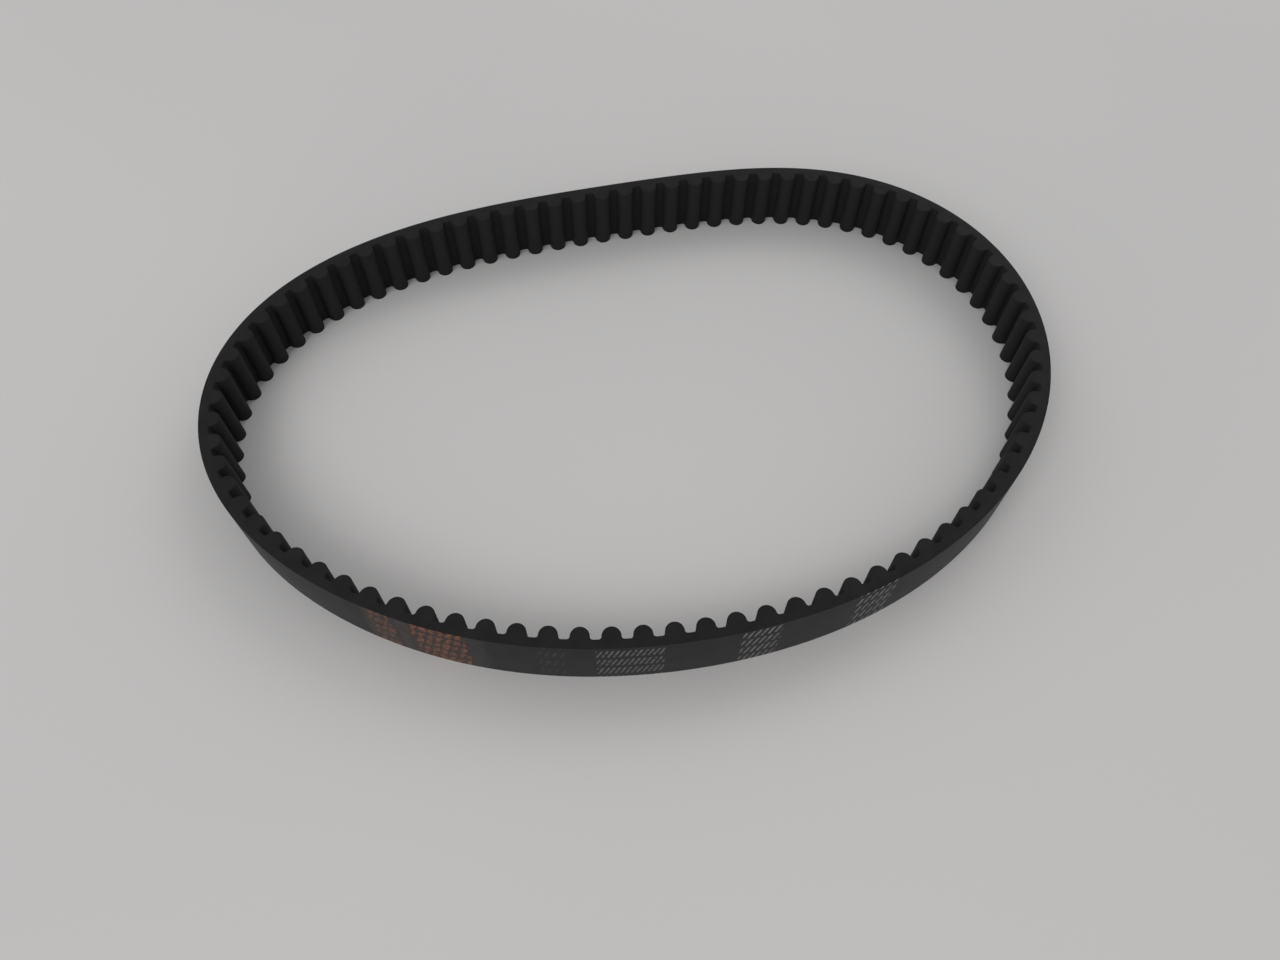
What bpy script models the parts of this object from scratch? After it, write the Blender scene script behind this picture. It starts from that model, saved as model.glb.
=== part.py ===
"""Timing belt with round teeth, 8 mm pitch, 82 teeth, 20 mm wide, standing on its edge.

The belt is an endless strip: woven facing on the teeth, a ply of tension cords along the pitch
line, and one rubber moulding that makes the teeth and the back. It bends everywhere along its
length. Here it is cut into sections at the flats between teeth, and each section turns against
the next about an upright axis on the pitch line. The origin is below the middle of the loop, on
the plane that the edge rests on, with +X along the loop's longer side.
"""

import math

import bmesh
import bpy
import numpy as np

# The belt, in metres.
PITCH = 0.008
TEETH = 82
WIDTH = 0.020
THICKNESS = 0.006
TOOTH_HEIGHT = 0.0034
PITCH_LINE_DEPTH = 0.000686  # from a land, the flat between two teeth, to the cords' middle
TIP_RADIUS = 0.00254
ROOT_RADIUS = 0.00076

# The plies. Neighbouring plies keep PLY_GAP between them.
FACING_THICKNESS = 0.00025
CORD_THICKNESS = 0.0006
EDGE_COVER = 0.0007  # rubber beside the cords at each edge of the belt
PLY_GAP = 0.00003

# The loop at rest: the pitch line's heading is that of a circle plus a few waves, each with a
# size in radians and a shift in degrees. Two waves a turn make the oval, three make one end blunter.
WAVES = {2: (0.315, -1.0), 3: (0.0894, 65.3), 4: (0.0069, 75.0), 5: (0.0171, 18.0), 6: (0.0093, 44.0)}
STEPS_PER_PITCH = 32

# The sections. Their ends slope away from the pitch line, so that they can turn both ways.
SECTIONS = 14
SEAM_LAND = 53  # the land where the chain of sections starts and ends
FIXED_SECTION = 5  # the section that the others turn against, counted from the seam
END_GAP = 0.00005
END_SLOPE = math.radians(11.0)

SLOT_OVERRUN = 0.0008  # how far the cutter for the cords' space runs past a section's ends

# How finely a tooth is faceted.
TIP_STEPS = 6
ROOT_STEPS = 2

LENGTH = PITCH * TEETH
BACK = PITCH_LINE_DEPTH + TOOTH_HEIGHT - THICKNESS  # inward from the pitch line, so below zero


class Loop:
    """The pitch line: a closed curve of length LENGTH, counterclockwise, read by arc length."""

    def __init__(self):
        self.steps = TEETH * STEPS_PER_PITCH
        self.close = self.closing_wave()
        middles = (np.arange(self.steps) + 0.5) * LENGTH / self.steps
        heading = self.heading(middles, self.close)
        runs = np.stack([np.cos(heading), np.sin(heading)], axis=1) * LENGTH / self.steps
        self.points = np.concatenate([np.zeros((1, 2)), np.cumsum(runs, axis=0)])
        self.stations = np.arange(self.steps + 1) * LENGTH / self.steps
        outside = np.array([self.at(s, BACK) for s in self.stations])
        self.points -= (outside.min(axis=0) + outside.max(axis=0)) / 2

    @staticmethod
    def heading(s, close):
        turn = 2 * math.pi * s / LENGTH
        heading = turn - math.pi / 2 + close[0] * np.cos(turn) + close[1] * np.sin(turn)
        for count, (size, shift) in WAVES.items():
            heading = heading + size * np.sin(count * turn + math.radians(shift))
        return heading

    def miss(self, close):
        """How far the curve's end lies from its start, as a share of its length."""
        heading = self.heading((np.arange(self.steps) + 0.5) * LENGTH / self.steps, close)
        return np.array([np.cos(heading).mean(), np.sin(heading).mean()])

    def closing_wave(self):
        """The wave of one period a turn that makes the curve meet itself, by Newton's method."""
        close, nudge = np.zeros(2), 1e-5
        for _ in range(8):
            miss = self.miss(close)
            slopes = [(self.miss(close + nudge * unit) - miss) / nudge for unit in np.eye(2)]
            close = close - np.linalg.solve(np.stack(slopes, axis=1), miss)
        return close

    def at(self, s, inward):
        """The point at arc length s, moved inward off the pitch line."""
        s = s % LENGTH
        heading = float(self.heading(s, self.close))
        x = np.interp(s, self.stations, self.points[:, 0]) - inward * math.sin(heading)
        y = np.interp(s, self.stations, self.points[:, 1]) + inward * math.cos(heading)
        return np.array([x, y])


def arc(centre, radius, start, end, steps):
    """Points on an arc, both ends included."""
    angles = np.linspace(start, end, steps + 1)
    return [(centre[0] + radius * math.cos(a), centre[1] + radius * math.sin(a)) for a in angles]


def tooth_side(depth):
    """One tooth as (along, inward) points, its surface moved into the tooth by depth."""
    tip_centre = TOOTH_HEIGHT - TIP_RADIUS
    reach = TIP_RADIUS + ROOT_RADIUS
    root_x = math.sqrt(reach**2 - (tip_centre - ROOT_RADIUS) ** 2)
    lean = math.asin((tip_centre - ROOT_RADIUS) / reach)
    root = arc((-root_x, ROOT_RADIUS), ROOT_RADIUS + depth, -math.pi / 2, lean, ROOT_STEPS)
    tip = arc((0.0, tip_centre), TIP_RADIUS - depth, math.pi + lean, -lean, TIP_STEPS)
    half = root[:-1] + tip
    points = half + [(-x, y) for x, y in reversed(root[:-1])]
    return [(x, y + PITCH_LINE_DEPTH) for x, y in points]


def end_shift(inward):
    return END_GAP + abs(inward) * math.tan(END_SLOPE)


def toothed_line(first, last, depth):
    """The tooth side between two lands, as (arc length, inward) points, depth below its surface."""
    land = PITCH_LINE_DEPTH - depth
    line = [(first * PITCH + end_shift(land), land)]
    for tooth in range(first, last):
        line += [((tooth + 0.5) * PITCH + x, y) for x, y in tooth_side(depth)]
    return line + [(last * PITCH - end_shift(land), land)]


def smooth_line(first, last, inward):
    """A line along the belt at one depth, with a point at each land and each tooth's middle."""
    middle = [(half * PITCH / 2, inward) for half in range(2 * first + 1, 2 * last)]
    return [
        (first * PITCH + end_shift(inward), inward),
        *middle,
        (last * PITCH - end_shift(inward), inward),
    ]


def facing_outline(first, last):
    return toothed_line(first, last, 0.0) + toothed_line(first, last, FACING_THICKNESS)[::-1]


def waist(land, side):
    """The point of a section's end on the pitch line, where the section is longest."""
    return (land * PITCH + side * END_GAP, 0.0)


def rubber_outline(first, last):
    teeth = toothed_line(first, last, FACING_THICKNESS + PLY_GAP)
    back = smooth_line(first, last, BACK)
    return [*teeth, waist(last, -1), *reversed(back), waist(first, 1)]


def cord_outline(first, last):
    half = CORD_THICKNESS / 2
    top, bottom = smooth_line(first, last, half), smooth_line(first, last, -half)
    return [*top, waist(last, -1), *reversed(bottom), waist(first, 1)]


def slot_outline(first, last):
    """The space for the cords, which runs out past both ends of the section."""
    half = CORD_THICKNESS / 2 + PLY_GAP
    ends = (first * PITCH - SLOT_OVERRUN, last * PITCH + SLOT_OVERRUN)
    inside = [step * PITCH / 2 for step in range(2 * first + 1, 2 * last)]
    stations = [ends[0], *inside, ends[1]]
    return [(s, half) for s in stations] + [(s, -half) for s in reversed(stations)]


def prism(name, loop, outline, low, high, origin):
    """A solid with this outline, from height low to height high, and its origin on the axis."""
    shape = bmesh.new()
    corners = [loop.at(s, inward) - origin for s, inward in outline]
    floor = shape.faces.new([shape.verts.new((x, y, low)) for x, y in corners])
    grown = bmesh.ops.extrude_face_region(shape, geom=[floor])["geom"]
    raised = [v for v in grown if isinstance(v, bmesh.types.BMVert)]
    bmesh.ops.translate(shape, verts=raised, vec=(0, 0, high - low))
    bmesh.ops.recalc_face_normals(shape, faces=shape.faces)
    mesh = bpy.data.meshes.new(name)
    shape.to_mesh(mesh)
    shape.free()
    solid = bpy.data.objects.new(name, mesh)
    solid.location = (*origin, 0)
    bpy.context.scene.collection.objects.link(solid)
    return solid


def cut(solid, cutter):
    cutter.hide_render = True
    cutter.display_type = "WIRE"
    boolean = solid.modifiers.new("cord_slot", "BOOLEAN")
    boolean.operation = "DIFFERENCE"
    boolean.object = cutter


def plain_material(name, colour, roughness):
    material = bpy.data.materials.new(name)
    material.use_nodes = True
    shader = material.node_tree.nodes["Principled BSDF"]
    shader.inputs["Base Color"].default_value = (*colour, 1)
    shader.inputs["Roughness"].default_value = roughness
    shader.inputs["Metallic"].default_value = 0.0
    return material


def section_lands():
    """The land at the start of each section, and the seam again at the end."""
    return [SEAM_LAND + round(i * TEETH / SECTIONS) for i in range(SECTIONS + 1)]


def axis_of(section, lands, loop):
    """Where the section's upright axis stands: at its end that faces the fixed section."""
    if section == FIXED_SECTION:
        return np.zeros(2)
    return loop.at(lands[section + (section < FIXED_SECTION)] * PITCH, 0.0)


def build_section(section, lands, loop, materials):
    first, last = lands[section], lands[section + 1]
    origin = axis_of(section, lands, loop)
    label = f"{section + 1:02d}"

    facing = prism(f"tooth_facing_{label}", loop, facing_outline(first, last), 0, WIDTH, origin)
    facing.data.materials.append(materials["facing"])

    cover = EDGE_COVER + PLY_GAP
    cords = prism(
        f"tension_cords_{label}", loop, cord_outline(first, last), cover, WIDTH - cover, origin
    )
    cords.data.materials.append(materials["cords"])

    rubber = prism(f"rubber_body_{label}", loop, rubber_outline(first, last), 0, WIDTH, origin)
    rubber.data.materials.append(materials["rubber"])
    slot = prism(
        f"slot_{label}", loop, slot_outline(first, last), EDGE_COVER, WIDTH - EDGE_COVER, origin
    )
    cut(rubber, slot)


def main():
    for old in list(bpy.data.objects):
        bpy.data.objects.remove(old, do_unlink=True)
    materials = {
        "facing": plain_material("woven_facing", (0.030, 0.033, 0.040), 0.9),
        "rubber": plain_material("black_rubber", (0.022, 0.022, 0.024), 0.65),
        "cords": plain_material("glass_cord", (0.60, 0.54, 0.42), 0.7),
    }
    loop = Loop()
    lands = section_lands()
    for section in range(SECTIONS):
        build_section(section, lands, loop, materials)


main()
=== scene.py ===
"""Looks of the timing belt.

Every ply is shown unbroken round the loop. It is made as strips that run from the middle of one
CAD section to the middle of the next, so that each strip crosses one hinge; such a strip is fixed
where it stands and does not bend. The first and the last strip of a ply lie on either side of the
loop's seam. Each rides on one section, and the two sections meet again at every pose.
"""

import math

import bpy
import numpy as np
from mathutils import Matrix, Vector


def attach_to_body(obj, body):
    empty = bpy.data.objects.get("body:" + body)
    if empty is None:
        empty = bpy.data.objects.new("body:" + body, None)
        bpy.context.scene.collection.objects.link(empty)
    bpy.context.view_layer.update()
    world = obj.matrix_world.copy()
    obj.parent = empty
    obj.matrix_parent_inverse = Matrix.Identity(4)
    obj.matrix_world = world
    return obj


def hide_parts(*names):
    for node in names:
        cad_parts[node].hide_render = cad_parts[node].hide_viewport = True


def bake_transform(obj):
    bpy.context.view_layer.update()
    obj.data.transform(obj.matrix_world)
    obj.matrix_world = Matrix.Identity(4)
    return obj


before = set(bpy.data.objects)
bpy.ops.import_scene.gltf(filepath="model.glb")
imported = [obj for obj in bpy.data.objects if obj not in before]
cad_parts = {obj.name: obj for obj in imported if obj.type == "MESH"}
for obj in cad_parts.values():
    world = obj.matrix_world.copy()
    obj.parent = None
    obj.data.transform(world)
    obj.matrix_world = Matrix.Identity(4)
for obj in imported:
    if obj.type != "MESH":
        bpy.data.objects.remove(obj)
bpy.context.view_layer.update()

# The belt, in metres, as in the CAD. Inward is measured from the pitch line into the loop.
PITCH = 0.008
TEETH = 82
WIDTH = 0.020
THICKNESS = 0.006
TOOTH_HEIGHT = 0.0034
PITCH_LINE_DEPTH = 0.000686
TIP_RADIUS = 0.00254
ROOT_RADIUS = 0.00076
FACING_THICKNESS = 0.00025
CORD_THICKNESS = 0.0006
EDGE_COVER = 0.0007
PLY_GAP = 0.00003
WAVES = {2: (0.315, -1.0), 3: (0.0894, 65.3), 4: (0.0069, 75.0), 5: (0.0171, 18.0), 6: (0.0093, 44.0)}
STEPS_PER_PITCH = 32
SECTIONS = 14
SEAM_LAND = 53
LENGTH = PITCH * TEETH
BACK = PITCH_LINE_DEPTH + TOOTH_HEIGHT - THICKNESS

# How finely the surfaces are drawn.
TIP_STEPS = 18
ROOT_STEPS = 5
LAND_STEPS = 2
EDGE_STEPS = 3
CORD_SIDES = 8
SHARP_ANGLE = math.radians(40)  # a crease sharper than this isn't smoothed over
COLUMN_STEP = 0.000002  # least way along the belt between columns under a tooth's flank
SPARE_STEP = 0.0002  # from a corner of the cords' space to the spare point beside it
END_PATCH = 0.001  # side of the patch of texture that each hidden end face shows

FACING_EDGE = 0.00006  # radius of the cut cloth's edge
BACK_EDGE = 0.00006  # radius of the ground back's edge
CORD_SPACING = 0.00083
CORD_TURNS = 11  # turns of each of the two cords
SEAM_GAP = 0.000003  # keeps the two strips at the seam from sharing a face

# The surroundings: metres, watts, degrees, and millimetres for the lens and its sensor.
WHITE_LIGHT = (1.0, 0.99, 0.98)
SKY_STRENGTH = 0.46
LAMP_SIDE = 1.0
LAMPS = {
    "front_left": ((-1.0, -1.0, 1.41), 8.2),
    "back_right": ((1.0, 1.0, 1.41), 4.2),
    "back_left": ((-1.0, 1.0, 1.41), 1.6),
}
FLOOR_SIDE = 6.0
CAMERA_PLACE = (-0.0335, -0.1654, 0.2449)
CAMERA_TURN = -11.59
CAMERA_DIP = 59.06  # below the horizon
CAMERA_ROLL = 0.65
LENS, SENSOR = 27.03, 36.0
CLIP_START = 0.01


# ---------------------------------------------------------------- the loop

class Loop:
    """The pitch line: a closed curve of length LENGTH, counterclockwise, read by arc length."""

    def __init__(self):
        self.steps = TEETH * STEPS_PER_PITCH
        self.close = self.closing_wave()
        middles = (np.arange(self.steps) + 0.5) * LENGTH / self.steps
        heading = self.heading(middles, self.close)
        runs = np.stack([np.cos(heading), np.sin(heading)], axis=1) * LENGTH / self.steps
        self.points = np.concatenate([np.zeros((1, 2)), np.cumsum(runs, axis=0)])
        self.stations = np.arange(self.steps + 1) * LENGTH / self.steps
        outside = self.at(self.stations, BACK)
        self.points -= (outside.min(axis=0) + outside.max(axis=0)) / 2

    @staticmethod
    def heading(s, close):
        turn = 2 * math.pi * s / LENGTH
        heading = turn - math.pi / 2 + close[0] * np.cos(turn) + close[1] * np.sin(turn)
        for count, (size, shift) in WAVES.items():
            heading = heading + size * np.sin(count * turn + math.radians(shift))
        return heading

    def miss(self, close):
        """How far the curve's end lies from its start, as a share of its length."""
        heading = self.heading((np.arange(self.steps) + 0.5) * LENGTH / self.steps, close)
        return np.array([np.cos(heading).mean(), np.sin(heading).mean()])

    def closing_wave(self):
        """The wave of one period a turn that makes the curve meet itself, by Newton's method."""
        close, nudge = np.zeros(2), 1e-5
        for _ in range(8):
            miss = self.miss(close)
            slopes = [(self.miss(close + nudge * unit) - miss) / nudge for unit in np.eye(2)]
            close = close - np.linalg.solve(np.stack(slopes, axis=1), miss)
        return close

    def at(self, s, inward):
        """Points at arc lengths s, moved inward off the pitch line."""
        s = np.asarray(s) % LENGTH
        heading = self.heading(s, self.close)
        x = np.interp(s, self.stations, self.points[:, 0]) - inward * np.sin(heading)
        y = np.interp(s, self.stations, self.points[:, 1]) + inward * np.cos(heading)
        return np.stack([x, y], axis=-1)


# ---------------------------------------------------------------- profiles

def arc(centre, radius, start, end, steps):
    """Points on an arc, both ends included."""
    angles = np.linspace(start, end, steps + 1)
    return np.stack([centre[0] + radius * np.cos(angles), centre[1] + radius * np.sin(angles)], 1)


def pitch_side(depth):
    """One pitch of the tooth side, from land middle to land middle, its surface depth deeper."""
    tip_centre = TOOTH_HEIGHT - TIP_RADIUS
    reach = TIP_RADIUS + ROOT_RADIUS
    root_x = math.sqrt(reach**2 - (tip_centre - ROOT_RADIUS) ** 2)
    lean = math.asin((tip_centre - ROOT_RADIUS) / reach)
    root = arc((-root_x, ROOT_RADIUS), ROOT_RADIUS + depth, -math.pi / 2, lean, ROOT_STEPS)
    tip = arc((0.0, tip_centre), TIP_RADIUS - depth, math.pi + lean, -lean, TIP_STEPS)
    land_x = np.linspace(-PITCH / 2, -root_x, LAND_STEPS + 1)[:-1]
    land = np.stack([land_x, np.full(LAND_STEPS, -depth)], axis=1)
    rise = np.concatenate([land, root[:-1]])
    return np.concatenate([rise, tip, rise[::-1] * (-1, 1)]) + (0, PITCH_LINE_DEPTH)


def tooth_columns(first, last, depth):
    """(arc length, inward) of each column from land first to land last, on the tooth side."""
    one = pitch_side(depth)
    runs = [one[(tooth > first):] + ((tooth + 0.5) * PITCH, 0) for tooth in range(first, last)]
    return np.concatenate(runs)


def base_columns(first, last):
    """The arc length of each column at the cords and the back, under its point on the teeth. It
    grows steadily even where a tooth's flank hangs over."""
    s = tooth_columns(first, last, FACING_THICKNESS + PLY_GAP)[:, 0].copy()
    middles = (np.floor(s / PITCH) + 0.5) * PITCH
    for i in range(1, len(s)):
        if s[i] <= middles[i] + COLUMN_STEP:
            s[i] = max(s[i], s[i - 1] + COLUMN_STEP)
    for i in range(len(s) - 2, -1, -1):
        s[i] = min(s[i], s[i + 1] - COLUMN_STEP)
    return s


def developed(columns):
    """Length along the surface at each column, starting at the first one's arc length."""
    runs = np.hypot(*np.diff(columns, axis=0).T)
    return columns[0, 0] + np.concatenate([[0.0], np.cumsum(runs)])


# ---------------------------------------------------------------- meshes

class Shell:
    """A closed mesh swept along the belt: rings of points at columns, with faces in between."""

    def __init__(self):
        self.points, self.faces, self.uvs, self.slots = [], [], [], []

    def ring_points(self, places):
        """Adds places[column, ring, xyz] and returns their indices in the same shape."""
        start = sum(len(p) for p in self.points)
        self.points.append(places.reshape(-1, 3))
        return start + np.arange(places.shape[0] * places.shape[1]).reshape(places.shape[:2])

    def face(self, corners, uvs, slot):
        self.faces.append([int(c) for c in corners])
        self.uvs += [(float(u), float(v)) for u, v in uvs]
        self.slots.append(slot)

    def sweep(self, index, us, vs, slots, flip=False):
        """Quads between neighbouring columns, all round the ring.

        The band from ring point k to the next has its texture's u at each column in us[k], its v
        along both sides in vs[k], and its material in slots[k]. flip turns the faces over, for a
        ring that runs the other way round.
        """
        columns, around = index.shape
        for k in range(around):
            n = (k + 1) % around
            for j in range(columns - 1):
                corners = [(j, k), (j + 1, k), (j + 1, n), (j, n)]
                uv = [(us[k][a], vs[k][0 if b == k else 1][a]) for a, b in corners]
                if flip:
                    corners, uv = corners[::-1], uv[::-1]
                self.face([index[c] for c in corners], uv, slots[k])

    def build(self, name, materials):
        mesh = bpy.data.meshes.new(name)
        mesh.from_pydata(np.concatenate(self.points).tolist(), [], self.faces)
        mesh.uv_layers.new(name="surface").data.foreach_set("uv", np.ravel(self.uvs))
        for material in materials:
            mesh.materials.append(material)
        mesh.polygons.foreach_set("material_index", self.slots)
        mesh.shade_smooth()
        mesh.set_sharp_from_angle(angle=SHARP_ANGLE)
        mesh.validate()
        piece = bpy.data.objects.new(name, mesh)
        bpy.context.scene.collection.objects.link(piece)
        return piece


def place(loop, s, inward, z):
    """World points from arc length, distance inward of the pitch line, and height."""
    seam = SEAM_LAND * PITCH
    flat = loop.at(np.clip(s, seam + SEAM_GAP, seam + LENGTH - SEAM_GAP), inward)
    return np.concatenate([flat, np.full((len(s), 1), z)], axis=1)


def rounding(radius):
    """A quarter circle that softens a corner, as distances from the two faces that meet there."""
    turns = np.linspace(0, math.pi / 2, EDGE_STEPS + 1)
    return [(radius * (1 - math.cos(t)), radius * (1 - math.sin(t))) for t in turns]


def facing_strip(name, loop, first, last, materials):
    """The cloth on the teeth: outer face, two cut edges with a soft corner, and the bonded face."""
    shell = Shell()
    low = [(FACING_THICKNESS, 0.0), *reversed(rounding(FACING_EDGE))]
    ring = low + [(depth, WIDTH - z) for depth, z in reversed(low)]
    places = []
    for depth, z in ring:
        columns = tooth_columns(first, last, depth)
        places.append(place(loop, columns[:, 0], columns[:, 1], z))
    index = shell.ring_points(np.stack(places, axis=1))
    along = developed(tooth_columns(first, last, 0.0))
    across = [np.full(len(along), z + depth) for depth, z in ring]
    vs = list(zip(across, across[1:] + across[:1], strict=True))
    shell.sweep(index, [along] * len(ring), vs, [0] * len(ring), flip=True)
    section = [(z, depth) for depth, z in ring]
    shell.face(index[0][::-1], section[::-1], 0)
    shell.face(index[-1], section, 0)
    return shell.build(name, materials)


def rubber_strip(name, loop, first, last, materials):
    """The rubber: teeth and back in one, with the cords' space inside. Slot 0 is the ground
    back and slot 1 the cut edges and the bonded faces."""
    shell = Shell()
    teeth = tooth_columns(first, last, FACING_THICKNESS + PLY_GAP)
    base = base_columns(first, last)
    half = CORD_THICKNESS / 2 + PLY_GAP

    def level(value):
        return np.full(len(base), value)

    def line(inward):
        """Arc length and distance inward of one line along the belt."""
        return (teeth[:, 0], teeth[:, 1]) if inward is None else (base, level(inward))

    # Round the outside: out along the low edge, up over the back, and in along the high edge.
    # None stands for the line that follows the teeth.
    corner = [(BACK + depth, z) for z, depth in rounding(BACK_EDGE)]
    over = corner + [(inward, WIDTH - z) for inward, z in reversed(corner)]
    outer = [(None, 0.0), (half, 0.0), (-half, 0.0), *over]
    outer += [(-half, WIDTH), (half, WIDTH), (None, WIDTH)]
    places = [place(loop, *line(inward), z) for inward, z in outer]
    index = shell.ring_points(np.stack(places, axis=1))
    us, vs, slots = [], [], []
    for (inward, z), (next_inward, next_z) in zip(outer, outer[1:] + outer[:1], strict=True):
        bonded = inward is None and next_inward is None
        on_back = (inward, z) in over and (next_inward, next_z) in over
        us.append(line(inward)[0])
        if on_back or bonded:
            vs.append((level(z), level(next_z)))
        else:
            vs.append((line(inward)[1], line(next_inward)[1]))
        slots.append(0 if on_back else 1)
    shell.sweep(index, us, vs, slots)

    # The cords' space has as many points round it as the outside, so that the ends join up.
    low, high = EDGE_COVER, WIDTH - EDGE_COVER
    inner = [(half, low + SPARE_STEP), (half, low), (-half, low)]
    inner += [(-half, z) for z in np.linspace(low, high, len(over) + 2)[1:-1]]
    inner += [(-half, high), (half, high), (half, high - SPARE_STEP)]
    walls = [place(loop, *line(inward), z) for inward, z in inner]
    hollow = shell.ring_points(np.stack(walls, axis=1))
    across = [(level(z), level(z)) for _, z in inner]
    shell.sweep(hollow, [base] * len(inner), across, [1] * len(inner), flip=True)

    patch = [(0.0, 0.0), (0.0, END_PATCH), (END_PATCH, END_PATCH), (END_PATCH, 0.0)]
    for column, step in ((0, 1), (-1, -1)):
        for k in range(len(outer)):
            n = (k + 1) % len(outer)
            corners = [index[column, k], index[column, n], hollow[column, n], hollow[column, k]]
            shell.face(corners[::step], patch, 1)
    return shell.build(name, materials)


def cord_strip(name, loop, first, last, materials):
    """The S and the Z cord where they pass through this strip, turn after turn of a slow helix."""
    shell = Shell()
    stations = np.arange(2 * first, 2 * last + 1) * PITCH / 2
    angles = np.arange(CORD_SIDES) * 2 * math.pi / CORD_SIDES
    radius = CORD_THICKNESS / 2
    strands = 2 * CORD_TURNS
    lowest = (WIDTH - (strands - 1) * CORD_SPACING) / 2
    limit = EDGE_COVER + PLY_GAP + radius
    travel = ((stations - SEAM_LAND * PITCH) / LENGTH - 0.5) * 2 * CORD_SPACING
    depths = [np.full(len(stations), radius * math.cos(angle)) for angle in angles]
    rings = np.stack([place(loop, stations, depth, 0.0) for depth in depths], axis=1)
    for strand in range(strands):
        height = np.clip(lowest + strand * CORD_SPACING + travel, limit, WIDTH - limit)
        rings[:, :, 2] = height[:, None] + radius * np.sin(angles)
        index = shell.ring_points(rings.copy())
        twist = 1 if strand % 2 else -1
        around = [np.full(len(stations), twist * k / CORD_SIDES) for k in range(CORD_SIDES + 1)]
        vs = list(zip(around[:-1], around[1:], strict=True))
        shell.sweep(index, [stations] * CORD_SIDES, vs, [0] * CORD_SIDES, flip=True)
        disc = [(0.0, 0.0)] * CORD_SIDES
        shell.face(index[0][::-1], disc, 0)
        shell.face(index[-1], disc, 0)
    return shell.build(name, materials)


# ---------------------------------------------------------------- materials

class Graph:
    """A material's nodes. Each call adds one and returns its output socket."""

    def __init__(self, name, shine=0.5):
        self.material = bpy.data.materials.new(name)
        self.material.use_nodes = True
        self.nodes = self.material.node_tree.nodes
        self.links = self.material.node_tree.links
        self.shader = self.nodes["Principled BSDF"]
        self.shader.inputs["Specular IOR Level"].default_value = shine

    def put(self, socket, value):
        if isinstance(value, bpy.types.NodeSocket):
            self.links.new(value, socket)
        else:
            socket.default_value = value

    def surface(self):
        """The mesh's own coordinates: along the belt and across it, in metres."""
        node = self.nodes.new("ShaderNodeUVMap")
        node.uv_map = "surface"
        split = self.nodes.new("ShaderNodeSeparateXYZ")
        self.links.new(node.outputs["UV"], split.inputs[0])
        return split.outputs["X"], split.outputs["Y"]

    def vector(self, x, y, z=0.0):
        node = self.nodes.new("ShaderNodeCombineXYZ")
        for socket, value in zip(node.inputs, (x, y, z), strict=True):
            self.put(socket, value)
        return node.outputs[0]

    def math(self, operation, *values):
        node = self.nodes.new("ShaderNodeMath")
        node.operation = operation
        for socket, value in zip(node.inputs, values, strict=False):
            self.put(socket, value)
        return node.outputs[0]

    def scaled(self, value, factor):
        return self.math("MULTIPLY", value, factor)

    def weighted(self, first, weight, second, other_weight):
        return self.math("ADD", self.scaled(first, weight), self.scaled(second, other_weight))

    def noise(self, vector, scale, detail=3.0, roughness=0.55):
        """Soft random patches from 0 to 1, about scale of them to a metre."""
        node = self.nodes.new("ShaderNodeTexNoise")
        self.put(node.inputs["Vector"], vector)
        node.inputs["Scale"].default_value = scale
        node.inputs["Detail"].default_value = detail
        node.inputs["Roughness"].default_value = roughness
        return node.outputs["Fac"]

    def lines(self, along, across, squeeze, scale, detail=3.0):
        """Noise drawn out along the belt, which changes squeeze times as fast along as across."""
        return self.noise(self.vector(self.scaled(along, squeeze), across), scale, detail)

    def ramp(self, value, low, high, start=0.0, end=1.0):
        """start where value is below low, end where it is above high, smooth in between."""
        node = self.nodes.new("ShaderNodeMapRange")
        node.interpolation_type = "SMOOTHSTEP"
        for name, given in (
            ("Value", value), ("From Min", low), ("From Max", high), ("To Min", start), ("To Max", end)
        ):
            self.put(node.inputs[name], given)
        return node.outputs[0]

    def mix(self, share, first, second):
        """The first colour where share is 0, and the second where it is 1."""
        node = self.nodes.new("ShaderNodeMix")
        node.data_type = "RGBA"
        self.put(node.inputs[0], share)
        # Inputs 6 and 7 and output 2 are the ones for colours.
        for socket, colour in zip(node.inputs[6:8], (first, second), strict=True):
            self.put(socket, (*colour, 1) if isinstance(colour, tuple) else colour)
        return node.outputs[2]

    def finish(self, colour, roughness, height, depth, strength):
        """Joins colour, roughness and a bump of this depth in metres to the shader."""
        self.put(self.shader.inputs["Base Color"], colour)
        self.put(self.shader.inputs["Roughness"], roughness)
        bump = self.nodes.new("ShaderNodeBump")
        bump.inputs["Strength"].default_value = strength
        bump.inputs["Distance"].default_value = depth
        self.links.new(height, bump.inputs["Height"])
        self.links.new(bump.outputs["Normal"], self.shader.inputs["Normal"])
        return self.material


def facing_cloth():
    """Black nylon stretch cloth: a fine plain weave with fuzz on it and lighter, rubbed patches."""
    g = Graph("nylon_facing", shine=0.28)
    along, across = g.surface()
    point = g.vector(along, across)
    yarn = 0.00042
    waves = [g.math("SINE", g.scaled(way, 2 * math.pi / yarn)) for way in (along, across)]
    weave = g.math("MULTIPLY_ADD", g.math("MULTIPLY", *waves), 0.5, 0.5)
    patches = g.noise(point, scale=260.0)
    fuzz = g.noise(point, scale=5200.0, detail=2.0)
    groove, crest, rubbed = (0.0080, 0.0086, 0.0098), (0.0185, 0.0193, 0.0218), (0.022, 0.023, 0.026)
    shade = g.weighted(weave, 0.55, fuzz, 0.6)
    colour = g.mix(g.ramp(shade, low=0.2, high=0.95), groove, crest)
    colour = g.mix(g.ramp(patches, low=0.52, high=0.78, end=0.35), colour, rubbed)
    rough = g.ramp(fuzz, low=0.25, high=0.8, start=0.72, end=0.92)
    height = g.weighted(weave, 1.0, fuzz, 0.7)
    return g.finish(colour, rough, height, depth=0.00006, strength=0.6)


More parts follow.
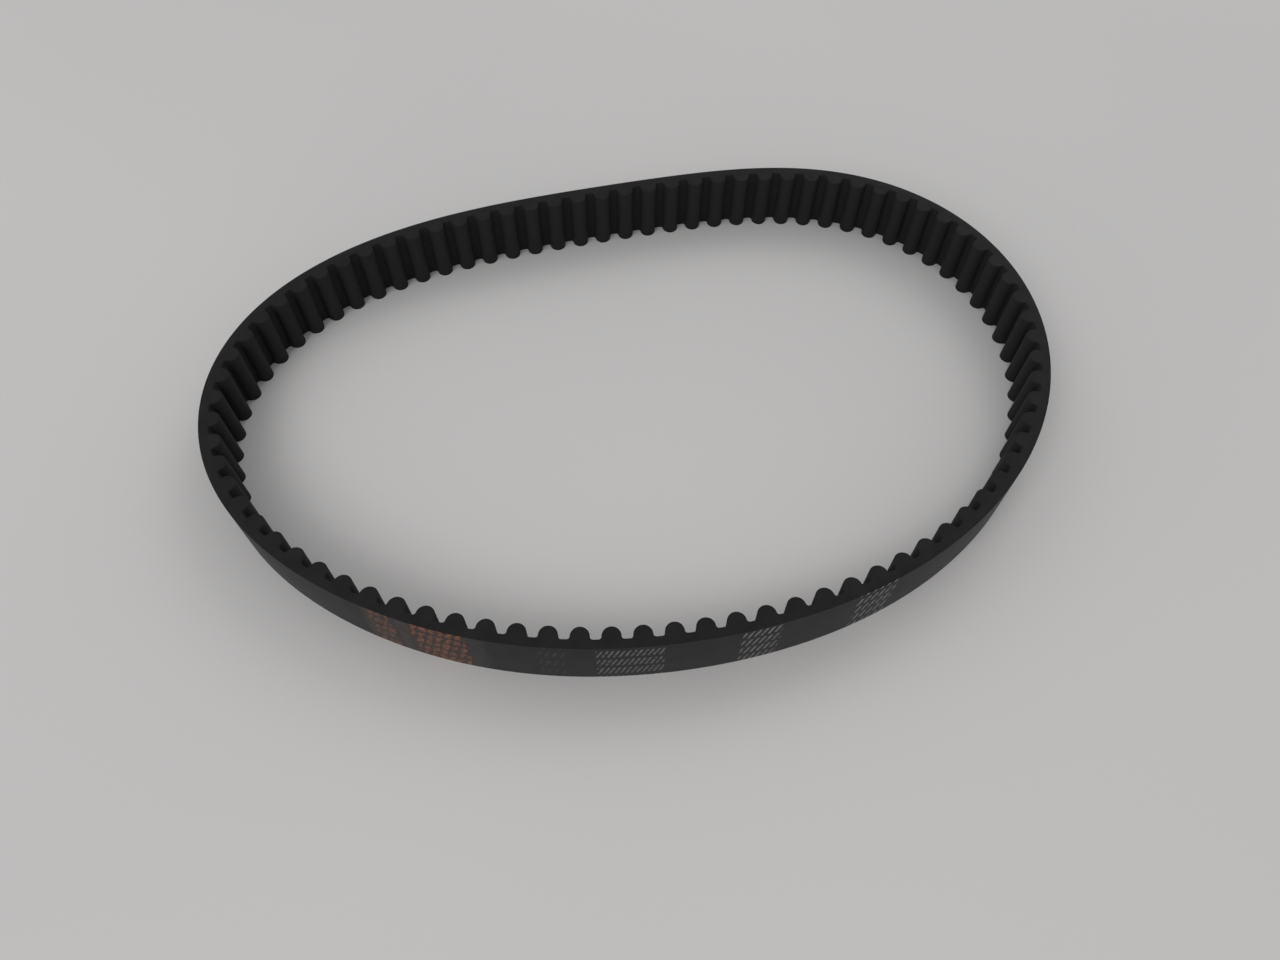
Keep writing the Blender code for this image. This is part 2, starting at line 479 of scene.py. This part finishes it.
def cut_rubber():
    """The sides of the belt, sliced from a wide sleeve: dull, with faint lines along the cut."""
    g = Graph("rubber_cut_edge", shine=0.22)
    along, across = g.surface()
    point = g.vector(along, across)
    lines = g.lines(along, across, squeeze=0.06, scale=4200.0, detail=2.0)
    patches = g.noise(point, scale=140.0)
    grain = g.noise(point, scale=3600.0)
    dark, light, scored = (0.0086, 0.0086, 0.0090), (0.0136, 0.0137, 0.0141), (0.019, 0.019, 0.0195)
    colour = g.mix(g.ramp(patches, low=0.3, high=0.7), dark, light)
    colour = g.mix(g.ramp(lines, low=0.55, high=0.8, end=0.5), colour, scored)
    rough = g.ramp(g.weighted(grain, 0.5, lines, 0.5), low=0.3, high=0.7, start=0.52, end=0.76)
    height = g.weighted(lines, 0.7, grain, 0.3)
    return g.finish(colour, rough, height, depth=0.00005, strength=0.5)


def band(g, value, share, soft):
    """1 in the middle of each unit of value, share wide, and 0 between."""
    off = g.math("ABSOLUTE", g.math("SUBTRACT", g.math("FRACT", value), 0.5))
    return g.ramp(off, share / 2 - soft, share / 2 + soft, start=1.0, end=0.0)


def between(g, value, low, high, soft):
    """1 where value lies from low to high, and 0 outside, with soft ends."""
    after = g.ramp(value, low - soft, low + soft)
    before = g.ramp(value, high - soft, high + soft, start=1.0, end=0.0)
    return g.math("MULTIPLY", after, before)


class Print:
    """Rows of slanting strokes across the back. Lengths are in metres.

    start and end are where the rows start and end, from the point where arc length is 0. The
    surface's own coordinate runs on from the seam through that point, so there it says LENGTH.
    spacing, slant and width are the strokes'. foot is the first row's foot, rise the way from row
    to row, and height a row's height. strength is how strong the ink is where it is whole, patchy
    how much of it the wear has taken, and smudge how far it has run.
    """

    def __init__(
        self, start, end, spacing, slant, width, foot, rise, height, ink, strength, patchy, smudge
    ):
        self.start, self.end = start, end
        self.spacing, self.slant, self.width = spacing, slant, width
        self.foot, self.rise, self.height = foot, rise, height
        self.ink, self.strength, self.patchy, self.smudge = ink, strength, patchy, smudge

    def mask(self, g, along, across):
        """1 on the strokes and 0 beside them."""
        shake = g.noise(g.vector(along, across), scale=620.0, detail=1.0)
        sway = g.noise(g.vector(across, along), scale=560.0, detail=1.0)
        along = g.math("MULTIPLY_ADD", g.math("SUBTRACT", shake, 0.5), self.smudge, along)
        across = g.math("MULTIPLY_ADD", g.math("SUBTRACT", sway, 0.5), self.smudge, across)
        up = g.math("SUBTRACT", across, self.foot)
        past_start = g.math("SUBTRACT", along, LENGTH + self.start)
        leaning = g.math("MULTIPLY_ADD", up, -self.slant, past_start)
        strokes = g.math("DIVIDE", leaning, self.spacing)
        stroke = band(g, strokes, self.width / self.spacing, soft=0.10)
        row = band(g, g.math("DIVIDE", up, self.rise), self.height / self.rise, soft=0.03)
        inside = between(g, along, LENGTH + self.start, LENGTH + self.end, soft=0.0001)
        return g.math("MULTIPLY", g.math("MULTIPLY", stroke, row), inside)


WORN_SHARE = 0.15  # of a mark's strength, where it is worn most
WEAR_SOFTNESS = 0.10
WHITE_INK = (0.42, 0.41, 0.40)
ORANGE_INK = (0.26, 0.100, 0.056)
PRINTS = (
    Print(
        start=0.0765, end=0.0832, spacing=0.00215, slant=0.25, width=0.00130, foot=-0.0006,
        rise=0.0044, height=0.0031, ink=ORANGE_INK, strength=0.76, patchy=0.50, smudge=0.0030,
    ),
    Print(
        start=0.0887, end=0.1033, spacing=0.00235, slant=0.25, width=0.00145, foot=-0.0006,
        rise=0.0043, height=0.0031, ink=ORANGE_INK, strength=0.90, patchy=0.48, smudge=0.0030,
    ),
    Print(
        start=0.1215, end=0.1280, spacing=0.00200, slant=0.35, width=0.00060, foot=0.0005,
        rise=0.0060, height=0.0036, ink=WHITE_INK, strength=0.10, patchy=0.48, smudge=0.0010,
    ),
    Print(
        start=0.1360, end=0.1532, spacing=0.00143, slant=0.35, width=0.00052, foot=-0.0043,
        rise=0.0059, height=0.0042, ink=WHITE_INK, strength=0.40, patchy=0.45, smudge=0.0005,
    ),
    Print(
        start=0.1730, end=0.1834, spacing=0.00180, slant=0.35, width=0.00056, foot=-0.0011,
        rise=0.0053, height=0.0039, ink=WHITE_INK, strength=0.60, patchy=0.45, smudge=0.0004,
    ),
    Print(
        start=0.2045, end=0.2162, spacing=0.00215, slant=0.35, width=0.00058, foot=-0.0018,
        rise=0.0050, height=0.0034, ink=WHITE_INK, strength=0.74, patchy=0.45, smudge=0.0005,
    ),
)
# Flat haze where ink or its carrier has spread: start, end, colour and strength.
HAZES = (
    (0.0750, 0.0845, (0.070, 0.048, 0.039), 0.55),
    (0.0845, 0.0880, (0.074, 0.066, 0.062), 0.62),
    (0.0875, 0.1040, (0.068, 0.038, 0.027), 0.60),
    (0.1040, 0.1082, (0.050, 0.048, 0.048), 0.60),
)


def ground_back():
    """The back, ground smooth all round: charcoal, with fine lines along the belt and worn ink."""
    g = Graph("rubber_ground_back", shine=0.3)
    along, across = g.surface()
    point = g.vector(along, across)
    lines = g.lines(along, across, squeeze=0.05, scale=3000.0)
    patches = g.noise(point, scale=130.0, detail=4.0, roughness=0.6)
    grain = g.noise(point, scale=5200.0, detail=2.0)
    dark, light, ground = (0.0096, 0.0100, 0.0107), (0.0156, 0.0160, 0.0170), (0.036, 0.036, 0.037)
    colour = g.mix(g.ramp(patches, low=0.34, high=0.66), dark, light)
    colour = g.mix(g.ramp(lines, low=0.50, high=0.80, end=0.45), colour, ground)

    smear = g.noise(point, scale=420.0)
    for start, end, stain, strength in HAZES:
        spread = between(g, along, LENGTH + start, LENGTH + end, soft=0.0012)
        left = g.ramp(smear, low=0.36, high=0.62, start=0.25, end=strength)
        colour = g.mix(g.math("MULTIPLY", spread, left), colour, stain)

    wear = g.noise(point, scale=950.0, detail=4.0, roughness=0.65)
    for mark in PRINTS:
        worn, whole = mark.patchy - WEAR_SOFTNESS, mark.patchy + WEAR_SOFTNESS
        left = g.ramp(wear, worn, whole, WORN_SHARE * mark.strength, mark.strength)
        colour = g.mix(g.math("MULTIPLY", mark.mask(g, along, across), left), colour, mark.ink)

    rough = g.ramp(grain, low=0.25, high=0.8, start=0.46, end=0.66)
    height = g.weighted(lines, 0.6, grain, 0.4)
    return g.finish(colour, rough, height, depth=0.00004, strength=0.5)


def glass_cord():
    """Twisted glass fibre in a pale adhesive dip, the two twists leaning opposite ways."""
    g = Graph("glass_cord")
    along, around = g.surface()
    lay, yarns = 0.0016, 3
    turned = g.math("ADD", g.math("DIVIDE", along, lay), around)
    twist = g.math("SINE", g.scaled(turned, 2 * math.pi * yarns))
    fibre = g.noise(g.vector(along, around), scale=900.0, detail=2.0)
    shade = g.math("MULTIPLY_ADD", twist, 0.35, fibre)
    dipped, pale = (0.36, 0.31, 0.22), (0.68, 0.63, 0.52)
    colour = g.mix(g.ramp(shade, low=0.1, high=0.9), dipped, pale)
    rough = g.ramp(fibre, low=0.2, high=0.8, start=0.5, end=0.75)
    return g.finish(colour, rough, twist, depth=0.00004, strength=0.7)


def paper_floor():
    """Off-white paper with a slow change of tone and a fine tooth."""
    g = Graph("paper", shine=0.3)
    point = g.nodes.new("ShaderNodeTexCoord").outputs["Object"]
    spread = g.noise(point, scale=3.0, detail=2.0)
    fibre = g.noise(point, scale=700.0)
    grey, white = (0.715, 0.712, 0.716), (0.745, 0.740, 0.742)
    colour = g.mix(g.ramp(spread, low=0.3, high=0.7), grey, white)
    rough = g.ramp(fibre, low=0.3, high=0.7, start=0.62, end=0.78)
    return g.finish(colour, rough, fibre, depth=0.0001, strength=0.15)


# ---------------------------------------------------------------- pieces

def strip_lands(lands):
    """The land in the middle of each section, with the seam at both ends."""
    middles = [(a + b) // 2 for a, b in zip(lands[:-1], lands[1:], strict=True)]
    return [lands[0], *middles, lands[-1]]


def attach(piece, loop, strip, ends, nodes):
    """Rides the piece on its section, or, where it crosses two, leaves it fixed where it stands."""
    sections = [f"section_{i + 1:02d}" for i in (strip - 1, strip) if 0 <= i < SECTIONS]
    if len(sections) == 1:
        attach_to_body(piece, sections[0])
    else:
        start, end = (Vector((*loop.at(land * PITCH, 0.0), WIDTH / 2)) for land in ends)
        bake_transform(piece)
    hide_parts(*(f"{nodes}_{name[-2:]}" for name in sections))


def build_belt():
    loop = Loop()
    lands = [SEAM_LAND + round(i * TEETH / SECTIONS) for i in range(SECTIONS + 1)]
    cuts = strip_lands(lands)
    facing, cords = [facing_cloth()], [glass_cord()]
    rubber = [ground_back(), cut_rubber()]
    for strip, ends in enumerate(zip(cuts[:-1], cuts[1:], strict=True)):
        label = f"{strip + 1:02d}"
        piece = facing_strip(f"facing_strip_{label}", loop, *ends, facing)
        attach(piece, loop, strip, ends, "tooth_facing")
        piece = rubber_strip(f"rubber_strip_{label}", loop, *ends, rubber)
        attach(piece, loop, strip, ends, "rubber_body")
        piece = cord_strip(f"cord_strip_{label}", loop, *ends, cords)
        attach(piece, loop, strip, ends, "tension_cords")


# ---------------------------------------------------------------- surroundings

def build_floor():
    bpy.ops.mesh.primitive_plane_add(size=FLOOR_SIDE, location=(0, 0, 0))
    floor = bpy.context.object
    floor.name = "floor"
    floor.data.materials.append(paper_floor())


def soft_light(name, spot, power):
    """A square lamp that faces the origin."""
    lamp = bpy.data.lights.new(name, "AREA")
    lamp.shape = "RECTANGLE"
    lamp.size = lamp.size_y = LAMP_SIDE
    lamp.energy = power
    lamp.color = WHITE_LIGHT
    light = bpy.data.objects.new(name, lamp)
    light.location = spot
    light.rotation_euler = (-Vector(spot)).to_track_quat("-Z", "Y").to_euler()
    bpy.context.scene.collection.objects.link(light)


def build_light():
    world = bpy.data.worlds.new("studio")
    world.use_nodes = True
    background = world.node_tree.nodes["Background"]
    background.inputs["Color"].default_value = (*WHITE_LIGHT, 1)
    background.inputs["Strength"].default_value = SKY_STRENGTH
    bpy.context.scene.world = world
    for name, (spot, power) in LAMPS.items():
        soft_light(name, spot, power)


def build_camera():
    optics = bpy.data.cameras.new("camera")
    optics.sensor_width = SENSOR
    optics.lens = LENS
    optics.clip_start = CLIP_START
    camera = bpy.data.objects.new("camera", optics)
    turn = Matrix.Rotation(math.radians(CAMERA_TURN), 4, "Z")
    tilt = Matrix.Rotation(math.radians(90 - CAMERA_DIP), 4, "X")
    roll = Matrix.Rotation(math.radians(CAMERA_ROLL), 4, "Z")
    camera.matrix_world = Matrix.Translation(CAMERA_PLACE) @ turn @ tilt @ roll
    bpy.context.scene.collection.objects.link(camera)
    bpy.context.scene.camera = camera


build_belt()
build_floor()
build_light()
build_camera()
bpy.context.scene.view_settings.view_transform = "Standard"
